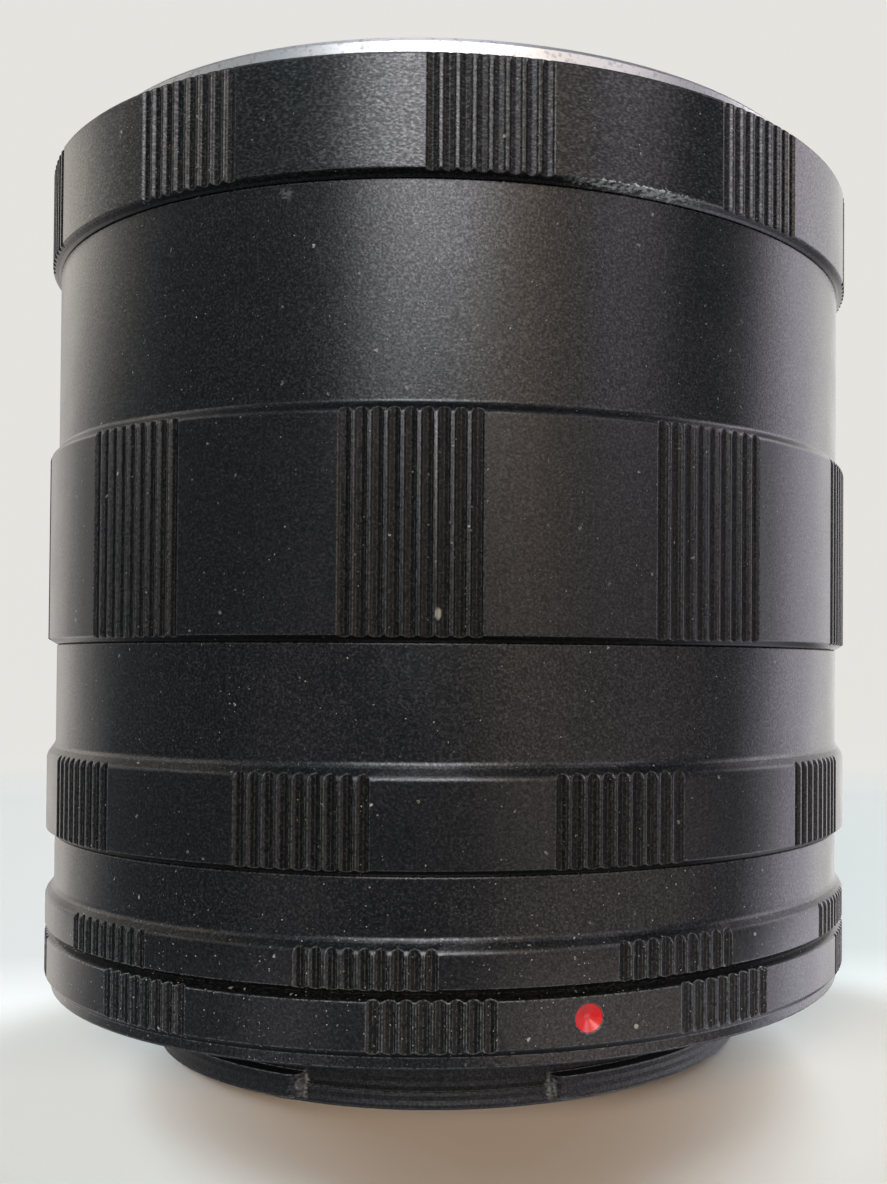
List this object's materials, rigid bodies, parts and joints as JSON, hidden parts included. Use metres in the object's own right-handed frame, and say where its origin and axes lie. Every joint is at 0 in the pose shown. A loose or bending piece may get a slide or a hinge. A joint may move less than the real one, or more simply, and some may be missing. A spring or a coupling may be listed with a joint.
{
  "type": "macro extension tube",
  "caption": "Black screwed-together tubes with grip bands between a male lug bayonet and a chromed female bayonet with a sprung lock, to hold a lens further from a camera.",
  "frame": {"origin": "centre of the camera flange face, on the optical axis", "axes": "+Z along the optical axis from the camera towards the lens, -Y towards the viewer of the picture"},
  "size_m": [0.0638, 0.0638, 0.0695],
  "materials": {
    "black_anodised": "satin black anodised, fine sparkle",
    "black_bayonet": "semi-matte black anodised",
    "chrome_plate": "satin chrome on brass",
    "black_screws": "blackened steel",
    "plated_screws": "plated steel",
    "spring_steel": "spring steel",
    "lock_steel": "polished steel",
    "red_paint": "gloss paint",
    "white_paint": "gloss paint"
  },
  "bodies": {
    "camera_mount": {"camera_mount_ring": "black_anodised", "camera_bayonet": "black_bayonet", "index_dot": "red_paint", "bayonet_screw_1": "black_screws", "bayonet_screw_2": "black_screws", "bayonet_screw_3": "black_screws", "bayonet_screw_4": "black_screws"},
    "short_tube": {"tube_7": "black_anodised"},
    "middle_tube": {"tube_14": "black_anodised"},
    "long_tube": {"tube_28": "black_anodised"},
    "lens_mount": {"lens_mount_ring": "black_anodised", "lens_bayonet_plate": "chrome_plate", "lens_index_dot": "white_paint", "lock_spring": "spring_steel", "plate_screw_1": "plated_screws", "plate_screw_2": "plated_screws", "plate_screw_3": "plated_screws", "plate_screw_4": "plated_screws", "leaf_spring_1": "spring_steel", "leaf_spring_2": "spring_steel", "leaf_spring_3": "spring_steel", "leaf_rivet_1": "plated_screws", "leaf_rivet_2": "plated_screws", "leaf_rivet_3": "plated_screws"},
    "release": {"lock_pin": "lock_steel", "release_lever": "lock_steel"}
  },
  "joints": [
    {"name": "short_tube_unscrew", "type": "slide", "parent": "camera_mount", "child": "short_tube", "axis": [0, 0, 1], "range_m": [0, 0.008]},
    {"name": "middle_tube_unscrew", "type": "slide", "parent": "short_tube", "child": "middle_tube", "axis": [0, 0, 1], "range_m": [0, 0.008]},
    {"name": "long_tube_unscrew", "type": "slide", "parent": "middle_tube", "child": "long_tube", "axis": [0, 0, 1], "range_m": [0, 0.008]},
    {"name": "lens_mount_unscrew", "type": "slide", "parent": "long_tube", "child": "lens_mount", "axis": [0, 0, 1], "range_m": [0, 0.008]},
    {"name": "release_slide", "type": "slide", "parent": "lens_mount", "child": "release", "axis": [0, 0, -1], "range_m": [0, 0.0012], "stiffness_N_per_m": 200, "springref_m": -0.0025, "deforming": ["lock_spring"]}
  ]
}
